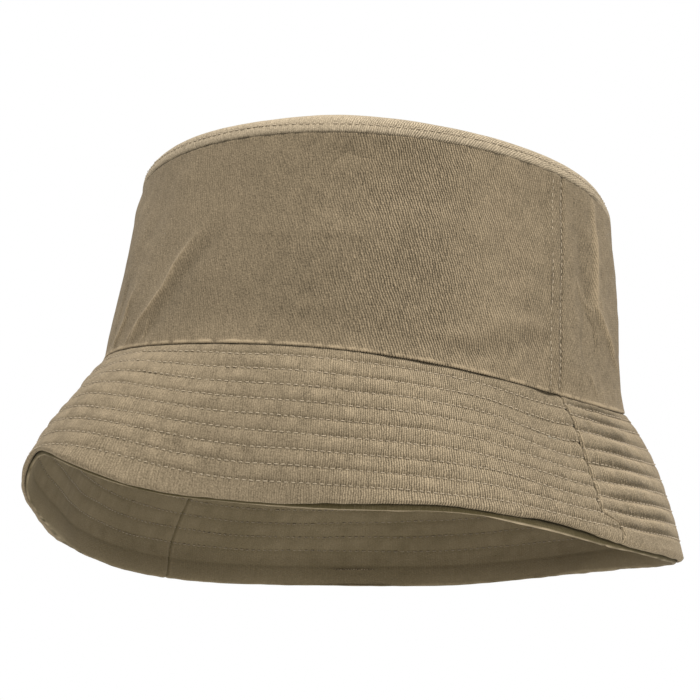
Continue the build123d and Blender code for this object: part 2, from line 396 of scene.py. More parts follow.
def cloth_material(name, dark, light, lean, rib=0.92, relief=0.00016, ribs=1.0, grit=1.0):
    """Washed cotton twill: ribs that lean from the cloth's length, each a row of short yarn floats."""
    s = Shader(name)
    flat = s.flat_cloth()
    x, y = s.split(flat)
    turn = math.radians(lean)
    bend = s.math("MULTIPLY", s.noise(flat, 0.8, 1.0), 0.5)
    bend = s.math("MULTIPLY_ADD", s.noise(flat, 0.1, 3.0), 1.8, bend)
    across = s.math("MULTIPLY_ADD", x, math.cos(turn), s.math("MULTIPLY_ADD", y, math.sin(turn), bend))
    along = s.math("MULTIPLY_ADD", y, math.cos(turn), s.math("MULTIPLY", x, -math.sin(turn)))
    turns = s.math("DIVIDE", across, rib)
    wave = s.math("MULTIPLY_ADD", s.math("SINE", s.math("MULTIPLY", turns, TAU)), 0.5, 0.5)
    row = s.math("FLOOR", turns)
    floats = s.math("ADD", s.math("DIVIDE", along, 0.85), s.math("MULTIPLY", row, 0.37))
    bead = s.math("ABSOLUTE", s.math("SINE", s.math("MULTIPLY", floats, math.pi)))
    yarn = s.node("ShaderNodeTexWhiteNoise", noise_dimensions="2D")
    s.join(s.pair(row, s.math("FLOOR", floats)), yarn.inputs["Vector"])
    yarn = s.math("SUBTRACT", yarn.outputs["Value"], 0.5)
    grain = s.noise(flat, 1.5, 2.0, 0.6)
    fuzz = s.noise(flat, 3.4, 2.0, 0.6)
    slub = s.noise(s.pair(s.math("MULTIPLY", across, 1.1), s.math("MULTIPLY", along, 0.25)), 1.0, 2.0)
    cloud = s.noise(flat, 0.03, 3.0)
    # The ribs' colour contrast is painted patchy and stronger where light rakes across them at the right
    # front,
    # with their crests painted lighter as shine; the same factor scales the ribs' real relief.
    relief_and_rake = s.attribute("relief_and_rake")
    patchy_rake_contrast = s.math("MULTIPLY", s.math("MULTIPLY_ADD", s.noise(flat, 0.06, 2.0), 0.8, 0.6), relief_and_rake)
    height = s.math("MULTIPLY", wave, s.math("MULTIPLY_ADD", bead, 0.3, 0.7 * ribs))
    height = s.math("ADD", height, s.math("MULTIPLY", s.math("MULTIPLY", yarn, wave), 0.5))
    height = s.math("ADD", s.math("MULTIPLY", height, relief_and_rake), s.math("MULTIPLY", grain, 0.9))
    s.relief(height, relief)
    # Each mesh's tone holds painted shade in grooves, seams and hollows and painted light on ridges, beside
    # random tone.
    tone_and_shade = s.attribute("tone_and_shade")
    shine = s.math("MULTIPLY", wave, s.math("MULTIPLY_ADD", bead, 0.55, 0.6))
    mixed = s.math("MULTIPLY", s.math("SUBTRACT", shine, 0.46), patchy_rake_contrast)
    mixed = s.math("MULTIPLY_ADD", mixed, 0.62 * ribs * grit, 0.47)
    yarns = s.math("MULTIPLY", s.math("MULTIPLY", yarn, wave), relief_and_rake)
    mixed = s.math("MULTIPLY_ADD", yarns, 0.4 * grit, mixed)
    shares = ((grain, 1.1 * grit), (fuzz, 0.6 * grit), (slub, 0.5 * grit), (cloud, 0.15), (tone_and_shade, 0.9))
    for part, share in shares:
        mixed = s.math("ADD", mixed, s.math("MULTIPLY", s.math("SUBTRACT", part, 0.5), share))
    mixed = s.math("ADD", mixed, 0.0, clamp=True)
    s.join(s.blend(mixed, (*dark, 1.0), (*light, 1.0)), s.shader.inputs["Base Color"])
    s.shader.inputs["Roughness"].default_value = 0.95
    s.shader.inputs["Specular IOR Level"].default_value = 0.12
    s.shader.inputs["Sheen Weight"].default_value = 0.05
    s.shader.inputs["Sheen Roughness"].default_value = 0.6
    s.shader.inputs["Sheen Tint"].default_value = (0.9, 0.78, 0.6, 1.0)
    return s.material


def thread_material(name, dark, light):
    """Spun thread: a fine twist along its length and a little unevenness of colour."""
    s = Shader(name)
    flat = s.flat_cloth()
    x, y = s.split(flat)
    ply = s.math("MULTIPLY", s.math("ADD", s.math("DIVIDE", x, 0.55), y), TAU)
    twist = s.math("MULTIPLY_ADD", s.math("SINE", ply), 0.5, 0.5)
    fuzz = s.noise(flat, 3.0, 2.0)
    s.relief(s.math("ADD", twist, s.math("MULTIPLY", fuzz, 0.6)), 0.00008)
    shade = s.noise(flat, 0.2, 1.0)
    # The tone set on each stitch line darkens the bobbin thread under the brim as painted shade.
    tone_and_shade = s.attribute("tone_and_shade")
    mixed = s.math("MULTIPLY_ADD", twist, 0.35, s.math("MULTIPLY", s.math("ADD", fuzz, shade), 0.35))
    mixed = s.math("ADD", mixed, s.math("SUBTRACT", tone_and_shade, 0.5), clamp=True)
    s.join(s.blend(mixed, (*dark, 1.0), (*light, 1.0)), s.shader.inputs["Base Color"])
    s.shader.inputs["Roughness"].default_value = 0.7
    s.shader.inputs["Specular IOR Level"].default_value = 0.3
    s.shader.inputs["Sheen Weight"].default_value = 0.1
    return s.material


# One khaki twill throughout; the tip's copy is lighter, painted light for its upward face under the overhead
# lamp.
CROWN_TWILL = cloth_material("crown_twill", (0.050, 0.038, 0.022), (0.295, 0.226, 0.141), 22.0)
TIP_TWILL_PAINTED_LIGHT = cloth_material("tip_twill_painted_light", (0.090, 0.070, 0.044), (0.425, 0.342, 0.232), 22.0, rib=0.74)
BRIM_TWILL = cloth_material("brim_twill", (0.062, 0.047, 0.027), (0.335, 0.260, 0.165), 2.0)
UNDER_TWILL = cloth_material("under_twill", (0.062, 0.048, 0.020), (0.390, 0.308, 0.200), -4.0,
                             ribs=0.2, grit=0.2)
BAND_TWILL = cloth_material("band_twill", (0.085, 0.064, 0.036), (0.33, 0.255, 0.155), -20.0, ribs=0.8)
TAPE_WEAVE = cloth_material("tape_weave", (0.11, 0.085, 0.05), (0.36, 0.285, 0.185), 45.0, rib=0.7, ribs=0.6)
CORE_FELT = cloth_material("core_felt", (0.30, 0.27, 0.20), (0.50, 0.46, 0.36), 0.0, ribs=0.0)
THREAD = thread_material("khaki_thread", (0.12, 0.092, 0.055), (0.56, 0.445, 0.30))


# ---------------------------------------------------------------- brim

def lengths_round(points):
    """Distance round the hat along each row of a panel's grid, from the panel's first seam."""
    steps = np.linalg.norm(np.diff(points, axis=0), axis=2)
    return np.concatenate([np.zeros((1, points.shape[1])), np.cumsum(steps, axis=0)])


def seam_reach(places):
    """How far each place of a panel's grid lies from the nearer of its two seams."""
    from_low = lengths_round(places)
    return np.minimum(from_low, from_low[-1:] - from_low)


def panel_azimuths(panel, spacing):
    """Azimuths across a panel, closer together beside its two seams."""
    low, high = PANELS[panel]
    near = np.array([0.0, 0.35, 0.7, 1.05, 1.4, 1.8, 2.2, 2.7, 3.2, 3.8, 4.5, 5.3]) / 1.8
    inner = np.arange(low + near[-1] + 0.45, high - near[-1] - 0.2, spacing)
    return np.concatenate([low + near, inner, high - near[::-1]])


def row_sag(azimuth, along):
    """How far the rows sag below their even places: the panels' rows don't quite meet at the left seam."""
    middle = np.sin(math.pi * np.clip(along / (BRIM_WIDTH - 2), 0, 1)) ** 0.7
    front = (4.2 * step(azimuth, 333, 355) - 0.5 * bump(azimuth, 290, 14)) * middle
    back = (1.1 * bump(along, 40, 9) - 1.9 * bump(along, 10, 7)) * bump(azimuth, 8, 26)
    return front + back


def row_grooves(along):
    """1 at each row of stitching, 0 between."""
    return sum(bump(along, row, 0.55) for row in ROWS)


def quilting(along):
    """The puffed cloth between rows of stitching, from 0 at a row to 1 between two."""
    band = np.abs(np.sin(math.pi * (along - ROWS[0]) / ROW_PITCH)) ** 0.85
    first = np.sin(math.pi * np.clip(along / ROWS[0], 0, 1)) ** 0.85
    last = np.clip(np.sin(math.pi * (along - ROWS[-1]) / 13.0), 0, 1) ** 0.7
    return np.where(along < ROWS[0], 0.7 * first, np.where(along > ROWS[-1], last, band))


def seam_dip(reach, depth):
    """A panel's edge turning down into its seam, with the folded allowance raising it beside."""
    return -depth * bump(reach, 0.0, 0.75) + 0.3 * depth * bump(reach, 2.4, 1.7)


def plumpness(azimuth):
    """How much the quilting puffs up: most just behind the left seam."""
    lobes = [(10, 0.42, 11), (313, 0.24, 10), (60, 0.1, 20), (200, 0.12, 24), (120, 0.1, 24), (38, -0.13, 12)]
    return waves(azimuth, 0.24, lobes)


def brim_relief(azimuth, along, reach, seed, strength):
    """How far the quilted cloth stands out of the smooth brim, and its tone."""
    x = azimuth * 1.95  # about mm round the brim
    even = along - row_sag(azimuth, along)
    puff, groove, plump = quilting(even), row_grooves(even), plumpness(azimuth)
    free = step(reach, 0.5, 6.0)
    uneven = 1 + 0.3 * ripple(x, along * 2.2, seed, 14, 60) * free
    calm = free * (1 - 0.75 * step(along, BRIM_WIDTH - 12, BRIM_WIDTH - 3))
    pucker = ripple(x, along * 0.55, seed + 1, 4.5, 13) * calm
    crumple = ripple(x, along * 1.3, seed + 3, 9, 26) * calm
    height = strength * plump * puff * (uneven + 0.24 * pucker) + 0.07 * crumple * puff * strength
    height = height + 0.3 * ripple_round(azimuth, along, 17, 34, 110) * step(along, 2, 12)
    height = height - groove * (0.05 + 0.6 * plump + 0.04 * np.sin(TAU * x / STITCH_PITCH)) * strength
    height = height + seam_dip(reach, 0.6)
    # Painted light and shade that follow the relief: puffs and puckers lighter, the grooves at the rows
    # darker.
    tone_and_shade = 0.5 + 0.08 * (puff - 0.6) + 0.05 * pucker * puff - 0.08 * groove * strength
    # Painted light about azimuth 321 and painted shade about azimuths 347, 8 and 285.
    tone_and_shade = tone_and_shade + waves(azimuth, 0.0, [(321, 0.12, 10), (347, -0.07, 9), (8, -0.1, 11), (285, -0.05, 14)])
    # Painted light and shade bands across each quilted channel beside the left seam, about azimuth 14.
    painted_band_shade = waves(azimuth, 0.0, [(14, 0.32, 15)]) * step(reach, 0.5, 3.0) * step(ROWS[-1] + 2 - along, 0, 1)
    phase = TAU * (even - ROWS[0]) / ROW_PITCH
    tone_and_shade = tone_and_shade + painted_band_shade * (np.sin(phase) + 0.4 * np.sin(2 * phase))
    # Painted shade down in the side seam, and a painted highlight on the folded allowance beside it.
    tone_and_shade = tone_and_shade - 0.3 * bump(reach, 0.0, 0.55) + 0.12 * bump(reach, 1.3, 0.6)
    if strength > 0.8:
        gap = base_gap(azimuth)
        height = height - (0.35 + 0.6 * gap) * bump(along, 0.0, 0.5 + 0.5 * gap)
        # Painted shade along the brim's seam with the crown, darker where the gap opens.
        tone_and_shade = tone_and_shade - (0.45 + 0.1 * gap) * bump(along, 0.0, 0.5 + 0.7 * gap)
    return height, tone_and_shade


def base_gap(azimuth):
    """How far the brim's top edge pulls away from under the crown."""
    lobes = [(317, 0.9, 3.5), (325, 1.1, 5), (337, 0.6, 5), (354.5, 1.5, 3), (188, 0.8, 4), (95, 0.6, 5)]
    return waves(azimuth, 0.0, lobes)


def edge_gap(azimuth):
    """How far the under brim's lip stands off the rolled upper edge."""
    return waves(azimuth, 0.3, [(333, 0.6, 19), (353, 0.4, 6), (60, 0.3, 40), (150, 0.3, 30)])


def trim(azimuth):
    """How much short of the full width both brim cloths end: drawn up at the front, let out beside it."""
    return waves(azimuth, 0.0, [(247, 6.6, 10), (271, -2.0, 11)])


def recess(azimuth):
    """How much earlier than the lip the upper cloth rolls under."""
    return waves(azimuth, 0.0, [(326, 2.9, 14), (346, 2.6, 9), (306, 0.8, 9)])


def lip_recess(azimuth):
    """How much shorter still the under brim's lip ends beside the recess."""
    return waves(azimuth, 0.0, [(330, 1.8, 14)])


def lip_lift(azimuth):
    """How much the lip rises into the recess beside the upper cloth's roll."""
    return waves(azimuth, 0.0, [(333, 1.3, 15), (348, 0.9, 9)])


def seam_sway(azimuth, along):
    """The left seam's wander, in degrees: nearly straight, then a rounded tab just above the edge."""
    tab = np.sqrt(np.clip(1 - ((along - 52.0) / 5.6) ** 2 * (along > 52.0), 0, 1))
    sway = -0.9 * bump(along, 44.0, 4.0) + 3.6 * step(along, 46.5, 50.5) * tab
    apart = (azimuth - SEAM_LEFT + 180.0) % 360.0 - 180.0
    return sway * np.exp(-((apart / 6.0) ** 2))


def turned_edge(flat_rows, roll, tuck):
    """Rows of a cloth that rolls under at its edge: each one's roll angle, share of the width, and tuck."""
    share = np.linspace(0.0, 1.0, flat_rows)
    phi = np.concatenate([0 * share, np.radians(roll), math.pi + 0 * tuck])
    shares = np.concatenate([share, 1 + 0 * roll, 1 + 0 * tuck])
    back = np.concatenate([0 * share, 0 * roll, tuck])
    return phi, shares, back


def brim_upper(panel):
    """The upper brim cloth, from a strip turned up inside the crown to the edge that rolls under."""
    azimuth = panel_azimuths(panel, 0.32)
    phi, shares, back = turned_edge(116, np.linspace(15, 180, 11), np.linspace(1.0, TUCK, 4))
    a, phi = np.meshgrid(azimuth, phi, indexing="ij")
    edge = BRIM_WIDTH - UPPER_ROLL - trim(a) - recess(a)
    s = edge * shares - back
    reach = seam_reach(brim(a, s)[0])
    a = a + seam_sway(a, s)
    place, on, face = brim_frame(a, s)
    inside = np.clip((edge - s) / TUCK, 0, 1) * (phi > 3.1)
    sink = UPPER_ROLL * (1 - np.cos(phi)) + inside * (0.5 * edge_gap(a))
    base = place + on * (UPPER_ROLL * np.sin(phi))[..., None] - face * sink[..., None]
    height, tone_and_shade = brim_relief(a, s, reach, UPPER_SEED[panel], 1.0)
    fade = np.where(phi > 0, np.clip(1 - phi / 2.6, 0, 1), 1.0)
    wobble = 0.07 * ripple(a * 2.2, s, 5, 6, 30) * (phi > 0)
    look = face * np.cos(phi)[..., None] + on * np.sin(phi)[..., None]
    points = base + look * (height * fade + wobble)[..., None]
    # The rolled edge is painted darker as it turns under: painted shade beneath the roll.
    tone_and_shade = np.where(phi > 0, 0.54 - 0.5 * step(phi, 2.0, 3.1), tone_and_shade)
    flat = np.stack([a * BRIM_ARC, s + UPPER_ROLL * phi], -1)
    turned = np.array([4.0, 2.0, 0.7, 0.0])
    b, up = np.meshgrid(azimuth, turned, indexing="ij")
    sunk = np.broadcast_to(np.array([1.08, 1.08, 1.0, 0.75]), b.shape)
    allowance = wall(b, up / WALL_RISE) - outward(b) * sunk[..., None]
    points = np.concatenate([allowance, points], axis=1)
    flat = np.concatenate([np.stack([b * BRIM_ARC, -up - 0.5], -1), flat], axis=1)
    # The strip turned up inside the crown is painted dark: painted shade between the crown and the brim.
    tone_and_shade = np.concatenate([0 * up + 0.15, tone_and_shade], axis=1)
    name = "brim_cloth_upper_" + panel
    return make_piece(name, [(points, flat, tone_and_shade, False)], BRIM_TWILL, "brim_upper_" + panel)


def brim_under(panel):
    """The under brim cloth, which comes up round the edge as a lip, painted lighter than its shaded face."""
    azimuth = panel_azimuths(panel, 0.4)
    phi, shares, back = turned_edge(112, np.linspace(20, 180, 8), np.linspace(0.8, TUCK, 6))
    a, phi = np.meshgrid(azimuth, phi, indexing="ij")
    edge = BRIM_WIDTH - LIP_ROLL + LIP_PAST - trim(a) - lip_recess(a)
    s = edge * shares - back
    place, on, face = brim_frame(a, s)
    reach = seam_reach(place)
    lip = 2 * UPPER_ROLL + edge_gap(a) + 2 * LIP_ROLL - lip_lift(a)
    deep = BRIM_DEPTH + (lip - BRIM_DEPTH) * step(s, edge - 12, edge - 1)
    inside = np.clip((edge - s) / TUCK, 0, 1) * (phi > 3.1)
    sink = 1.6 * lip_lift(a) - 0.5 * edge_gap(a)
    deep = np.where(phi > 0, lip - LIP_ROLL * (1 - np.cos(phi)) + inside * sink, deep)
    base = place + on * (LIP_ROLL * np.sin(phi))[..., None] - face * deep[..., None]
    height, tone_and_shade = brim_relief(a, s, reach, UNDER_SEED[panel], UNDER_PUFF)
    fade = np.where(phi > 0, np.clip(1 - phi / 2.0, 0, 1), 1.0)
    wobble = 0.05 * ripple(a * 2.2, s, 6, 7, 30) * (phi > 0)
    look = -face * np.cos(phi)[..., None] + on * np.sin(phi)[..., None]
    points = base + look * (height * fade + wobble)[..., None]
    # Painted shade darkens the whole under face, a little less about azimuth 70.
    shade = waves(a, 0.25, [(70, 0.09, 45)]) + 0.5 * (tone_and_shade - 0.5)
    # The lip is painted lighter where light catches it, most about azimuth 325, and painted dark where it
    # turns in.
    lip_painted_light = waves(a, 0.25, [(325, 0.8, 30), (282, 0.3, 16)]) + 0.12 * ripple(a * 2.2, 0 * a, 8, 5, 20)
    tone_and_shade = np.where(phi > 0.6, lip_painted_light * (1 - step(phi, 1.5, 2.4)), shade)
    flat = np.stack([a * BRIM_ARC, -s - LIP_ROLL * phi], -1)
    name = "brim_cloth_under_" + panel
    return make_piece(name, [(points, flat, tone_and_shade, True)], UNDER_TWILL, "brim_under_" + panel)


def brim_core(panel):
    """The stiffening layer between the two brim cloths, pinched by each row of stitching."""
    azimuth = panel_azimuths(panel, 0.9)[6:-6]
    a, s = np.meshgrid(azimuth, np.linspace(2.5, BRIM_WIDTH - 9.0, 110), indexing="ij")
    place, _, face = brim_frame(a, s)
    reach = seam_reach(place) + 4.0  # clear of the dips at the seams
    above = brim_relief(a, s, reach, UPPER_SEED[panel], 1.0)[0] - 0.55
    below = -BRIM_DEPTH - brim_relief(a, s, reach, UNDER_SEED[panel], UNDER_PUFF)[0] + 0.6
    middle = (above + below) / 2
    half = np.maximum((above - below) / 2, 0.12)
    flat = np.stack([a * 1.9, s], -1)
    upper, lower = place + face * (middle + half)[..., None], place + face * (middle - half)[..., None]
    grids = [(upper, flat, 0.5, False), (lower, flat, 0.5, True)]
    return make_piece("brim_core_" + panel, grids, CORE_FELT, "brim_interlining_" + panel)


def brim_row(number):
    """One row of stitching right round the brim: needle thread on top, bobbin thread below."""
    along, lines = ROWS[number], []
    for side in (1, -1):
        for panel in PANELS:
            low, high = PANELS[panel]
            a = np.linspace(low + 0.15, high - 0.15, 900)
            s = along + row_sag(a, along) + 0.16 * ripple(a * 2.0, 0 * a, 90 + number, 25, 120)
            place, _, face = brim_frame(a, s)
            reach = seam_reach(place[:, None])[:, 0]
            seed, puff = (UPPER_SEED[panel], 1.0) if side > 0 else (UNDER_SEED[panel], UNDER_PUFF)
            height = brim_relief(a, s, reach, seed, puff)[0]
            lift = height + (0.06 if side > 0 else BRIM_DEPTH - 0.02)
            points = place + face * (side * lift)[:, None]
            # The bobbin thread under the brim is painted darker: painted shade.
            tone_and_shade = 0.5 if side > 0 else 0.12
            lines.append(stitches(points, face * side, 100 + number * 4 + side, tone_and_shade))
    return stitch_piece(f"row_stitching_{number + 1}", lines, f"brim_stitch_row_{number + 1}")


# ---------------------------------------------------------------- crown

# Folds in the crown wall: the line each one follows from its foot up, in azimuth and height, then its width
# and how far it stands out. Sharp ones are painted lighter along their crest, a painted highlight; soft ones
# are the folds and hollows that they lie on, painted lighter where they rise and darker where they sink.
SHARP_CREASES = [
    ([(249.6, 2), (252.0, 9), (255.5, 14), (259.2, 21), (261.8, 29), (266.5, 39)], 1.0, 0.75),
    ([(239.5, 1), (244.0, 11), (245.2, 20)], 0.9, 0.6),
    ([(254.3, 2), (255.8, 11)], 0.7, 0.4),
    ([(246.4, 1), (251.4, 10)], 0.7, 0.5),
    ([(31.0, 14), (25.0, 19), (21.2, 24), (16.6, 29), (13.4, 35), (13.2, 44), (13.4, 56), (13.0, 74)],
     1.5, 0.8),
    ([(12.0, 33), (7.4, 37), (4.9, 43)], 0.9, 0.6),
    ([(13.8, 4), (9.5, 11)], 0.9, 0.4),
    ([(120.0, 4), (131.0, 26)], 1.4, 0.15),
    ([(207.0, 26), (197.0, 52)], 1.5, 0.12),
    ([(182.0, 4), (187.0, 20)], 1.3, 0.15),
]
SOFT_CREASES = [
    ([(250.5, 3), (262.0, 29), (268.0, 42)], 3.4, 0.7),
    ([(255.0, 3), (266.0, 28), (273.0, 42)], 4.0, -0.8),
    ([(240.0, 2), (247.0, 24)], 2.6, 0.5),
    ([(234.0, 2), (240.0, 28)], 3.0, -0.6),
    ([(28.0, 16), (17.0, 30), (14.0, 44), (13.5, 76)], 3.0, 0.6),
    ([(9.0, 14), (9.5, 28), (7.5, 44), (6.0, 68)], 5.5, -1.1),
    ([(11.2, 17), (11.8, 30)], 5.0, -1.2),
    ([(332.0, 10), (346.0, 24)], 5.0, 0.7),
    ([(336.0, 6), (354.0, 20)], 4.5, -0.7),
    ([(300.0, 40), (330.0, 56)], 9.0, 0.5),
    ([(118.0, 6), (132.0, 30)], 4.0, 0.7),
    ([(126.0, 4), (141.0, 26)], 4.6, -0.6),
    ([(208.0, 22), (196.0, 52)], 4.2, 0.6),
    ([(214.0, 18), (203.0, 48)], 5.0, -0.6),
    ([(60.0, 10), (76.0, 32)], 5.0, 0.6),
    ([(180.0, 6), (188.0, 26)], 4.0, 0.6),
    ([(84.0, 34), (100.0, 52)], 7.0, 0.5),
]


def crease_relief(azimuth, up, creases):
    """Folds in the wall, each a ridge or a hollow that fades out at its ends."""
    out = 0.0 * up
    for line, width, height in creases:
        turn, rise = np.array([p[0] for p in line]), np.array([float(p[1]) for p in line])
        middle = math.radians(turn.mean())
        scale = math.radians(1) * math.hypot(HEAD[0] * math.sin(middle), HEAD[1] * math.cos(middle))
        tall, wide = rise[-1] - rise[0], (turn[-1] - turn[0]) * scale
        beyond = up - np.clip(up, rise[0], rise[-1])
        at = np.interp(up, rise, turn) + beyond * (turn[-1] - turn[0]) / tall
        off = ((azimuth - at + 180.0) % 360.0 - 180.0) * scale * tall / math.hypot(tall, wide)
        end = step(up, rise[0] - 0.15 * tall, rise[0] + 0.12 * tall)
        end = end * (1 - step(up, rise[-1] - 0.3 * tall, rise[-1] + 0.15 * tall))
        out = out + height * end * np.exp(-((off / width) ** 2))
    return out


def shoulder_pull(azimuth, away):
    """The rounder corner at the crown's left back, shared by wall and tip, away from their seam."""
    return -waves(azimuth, 0.0, [(34, 1.3, 16)]) * bump(away, 0.0, 15.0)


def wall_relief(azimuth, up, height_here, reach, panel):
    """How far the crown wall's cloth stands out of its smooth shape, and its tone."""
    seed = WALL_SEED[panel]
    x = azimuth * WALL_ARC
    down = height_here - up
    hold, free = step(up, 0, 14) * step(down, 0, 12), step(reach, 0.5, 8.0)
    calm = waves(azimuth, 1.0, [(270, -0.65, 34)])
    fine = ripple(x, up, seed + 2, 5, 14) * free * calm
    edge_soft = ripple(x, 0 * up, seed + 3, 3, 12) * free
    sharp = crease_relief(azimuth, up, SHARP_CREASES)
    folds = crease_relief(azimuth, up, SOFT_CREASES)
    soft = ripple(x, up * 0.8, seed, 16, 42) * free * calm
    height = hold * (0.4 * ripple_round(azimuth, up, 211, 45, 110) + 0.2 * soft)
    height = height + 0.04 * fine + (sharp + folds) * step(up, 0, 4) * step(down, 0, 5)
    height = height + shoulder_pull(azimuth, down)
    height = height - waves(azimuth, 0.0, [(38, 1.3, 14)]) * bump(up, 15.0, 9.0)
    height = height - 0.2 * bump(up, 0.0, 0.2) + (0.12 + 0.1 * edge_soft) * bump(up, 0.5, 0.9)
    height = height - 0.35 * bump(down, 0.0, 0.3)
    # Painted light and shade: crease crests lighter, fold hollows darker, the fine ripple lighter where it
    # rises.
    tone_and_shade = 0.5 + 0.03 * fine + 0.45 * sharp + 0.1 * folds
    # Painted shade about azimuth 298 and painted light about azimuth 338 on the crown wall.
    tone_and_shade = tone_and_shade + waves(azimuth, 0.0, [(298, -0.1, 18), (338, 0.08, 10)])
    # Painted shade in the seam at the wall's foot, with a lighter ragged line on its roll just above;
    # the lowest few mm are a little lighter.
    tone_and_shade = tone_and_shade - 0.3 * bump(up, 0.0, 0.2) + (0.5 + 0.35 * edge_soft) * bump(up, 0.75, 0.5)
    tone_and_shade = tone_and_shade + 0.1 * bump(up, 0.0, 7.0)
    # Painted shade in the top seam under the tip.
    tone_and_shade = tone_and_shade - (0.35 + 0.2 * edge_soft) * bump(down, 0.1 + 0.12 * edge_soft, 0.3)
    if panel == "front":
        felled = step(reach, 0.2, 1.0) * (1 - step(reach, 7.2, 8.4))
        lines = bump(reach, SIDE_STITCH[0], 0.5) + bump(reach, SIDE_STITCH[1], 0.5)
        height = height + 0.25 * felled - 0.16 * lines
        # The stitch lines are painted darker, painted shade in their grooves; the felled strip is a touch
        # darker.
        tone_and_shade = tone_and_shade - 0.08 * lines - 0.03 * felled
    height = height + seam_dip(reach, 0.35)
    # Painted shade down in the side seam.
    tone_and_shade = tone_and_shade - 0.3 * bump(reach, 0.0, 0.5)
    return height, tone_and_shade


def wall_height(azimuth):
    """The crown wall's height along its slope, from the brim seam to the top seam."""
    return np.linalg.norm(top_line(azimuth) - seam_line(azimuth), axis=-1)


def crown_side(panel):
    """One side panel of the crown: a fine outer face, and a plainer inner one."""
    foot = np.array([0, 0.25, 0.5, 0.75, 1.0, 1.3, 1.7, 2.2, 2.8]) / WALL_RISE
    head = np.array([1.7, 1.1, 0.7, 0.4, 0.2, 0]) / WALL_RISE
    shares = np.concatenate([foot, np.linspace(0.048, 1 - 0.034, 107), 1 - head])
    a, v = np.meshgrid(panel_azimuths(panel, 0.31), shares, indexing="ij")
    rise = wall_height(a)
    base, up = wall(a, v), v * rise
    height, tone_and_shade = wall_relief(a, up, rise, seam_reach(base), panel)
    face = face_normals(base, outward(a))
    outer = base + face * height[..., None]
    flat = np.stack([a * WALL_ARC, up], -1)
    a, v = np.meshgrid(panel_azimuths(panel, 1.6), np.linspace(0, 1, 48), indexing="ij")
    rise = wall_height(a)
    base, up = wall(a, v), v * rise
    reach = seam_reach(base)
    height = wall_relief(a, up, rise, reach + 9.0, panel)[0]  # without the felled seam
    level = np.clip(height, -0.4, 3.0) * step(up, 34, 44) * step(rise - up, 11, 17) * step(reach, 6, 12)
    inner = base - face_normals(base, outward(a)) * (CROWN_CLOTH - level)[..., None]
    inner_flat = np.stack([a * WALL_ARC, up], -1)
    grids = [(outer, flat, tone_and_shade, False), (inner, inner_flat, 0.5, True)]
    return make_piece("crown_cloth_" + panel, grids, CROWN_TWILL, "crown_side_" + panel)


def shoulder_at(reach):
    """The shoulder angle that lies a distance along the cloth from the tip's rim."""
    angle = 90 * np.linspace(0, 1, 4000) ** 2.2
    mean = (TIP[0] + TIP[1]) / 2
    r = np.cos(np.radians(angle)) ** (2 / DOME_POWER) * mean
    z = np.sin(np.radians(angle)) ** (2 / DOME_POWER)
    length = np.concatenate([[0], np.cumsum(np.hypot(np.diff(r), np.diff(z * DOME_RISE)))])
    return np.interp(reach, length, angle), length[-1]


def tip_relief(azimuth, reach, whole):
    """How far the tip's cloth stands out of its smooth shape, its tone, and its place on the flat cloth."""
    out = (whole - reach) / whole
    t = np.radians(azimuth)
    x, y = out * np.cos(t) * HEAD[0], out * np.sin(t) * HEAD[0]
    slow = ripple(x, y, 301, 50, 130)
    soft = ripple(x, y, 302, 16, 40)
    fine = ripple(x, y, 303, 5, 13)
    line = bump(reach, TOP_STITCH, 0.5)
    height = (0.85 * slow + 0.1 * soft) * step(reach, 3, 26) + 0.015 * fine
    height = height + shoulder_pull(azimuth, reach) - 0.35 * bump(reach, 0.0, 0.3)
    height = height + 0.1 * bump(reach, 1.6, 1.0) + 0.2 * bump(reach, 6.0, 2.4) - 0.16 * line
    # Painted shade in the topstitch line and the top seam, and a painted highlight on the cloth just inside
    # the seam.
    tone_and_shade = 0.55 + 0.02 * fine - 0.05 * line
    tone_and_shade = tone_and_shade - (0.3 + 0.15 * fine) * bump(reach, 0.0, 0.35) + 0.1 * bump(reach, 1.5, 0.9)
    return height, tone_and_shade, x, y


def crown_tip():
    """The oval tip: an outer face with finer rows beside its seam, and a plain inner face."""
    whole = shoulder_at(0.0)[1]
    grids = []
    near = np.array([0, 0.25, 0.5, 0.8, 1.1, 1.5, 1.9, 2.3, 2.7, 3.0, 3.3, 3.6, 3.9, 4.3, 4.8])
    middle = whole - 0.05
    for around, reaches, deep in (
        (np.linspace(0, 360, 541), np.concatenate([near, np.linspace(5.5, middle, 84)]), 0.0),
        (np.linspace(0, 360, 181), np.linspace(0, middle, 34), CROWN_CLOTH),
    ):
        a, e = np.meshgrid(around, reaches, indexing="ij")
        base = tip(a, shoulder_at(e)[0])
        up = np.broadcast_to(np.array([0.0, 0.0, 1.0]), base.shape)
        face = face_normals(base, outward(a) + up)
        face[0] = face[-1] = unit(face[0] + face[-1])
        height, tone_and_shade, x, y = tip_relief(a, e, whole)
        if deep:
            height, tone_and_shade = np.clip(height, -0.35, 3) * step(e, 12, 20) - deep, 0.5
        grids.append((base + face * height[..., None], np.stack([x, y], -1), tone_and_shade, bool(deep)))
    return make_piece("crown_tip_cloth", grids, TIP_TWILL_PAINTED_LIGHT, "crown_top")


def tip_stitching():
    """The topstitching round the tip, just above the top seam."""
    whole = shoulder_at(0.0)[1]
    a = np.linspace(0, 360, 1400)
    e = TOP_STITCH + 0.12 * ripple(a * TOP_ARC, 0 * a, 401, 20, 90)
    base = tip(a, shoulder_at(e)[0])
    inner = tip(a, shoulder_at(e + 0.5)[0])
    on = unit(inner - base)
    ahead = np.gradient(base, axis=0)
    face = unit(np.cross(ahead, on))
    face = face * np.sign((face * outward(a)).sum(-1, keepdims=True))
    height = tip_relief(a, e, whole)[0]
    line = stitches(base + face * (height + 0.14)[:, None], face, 402)
    return stitch_piece("tip_stitching", [line], "top_stitch")


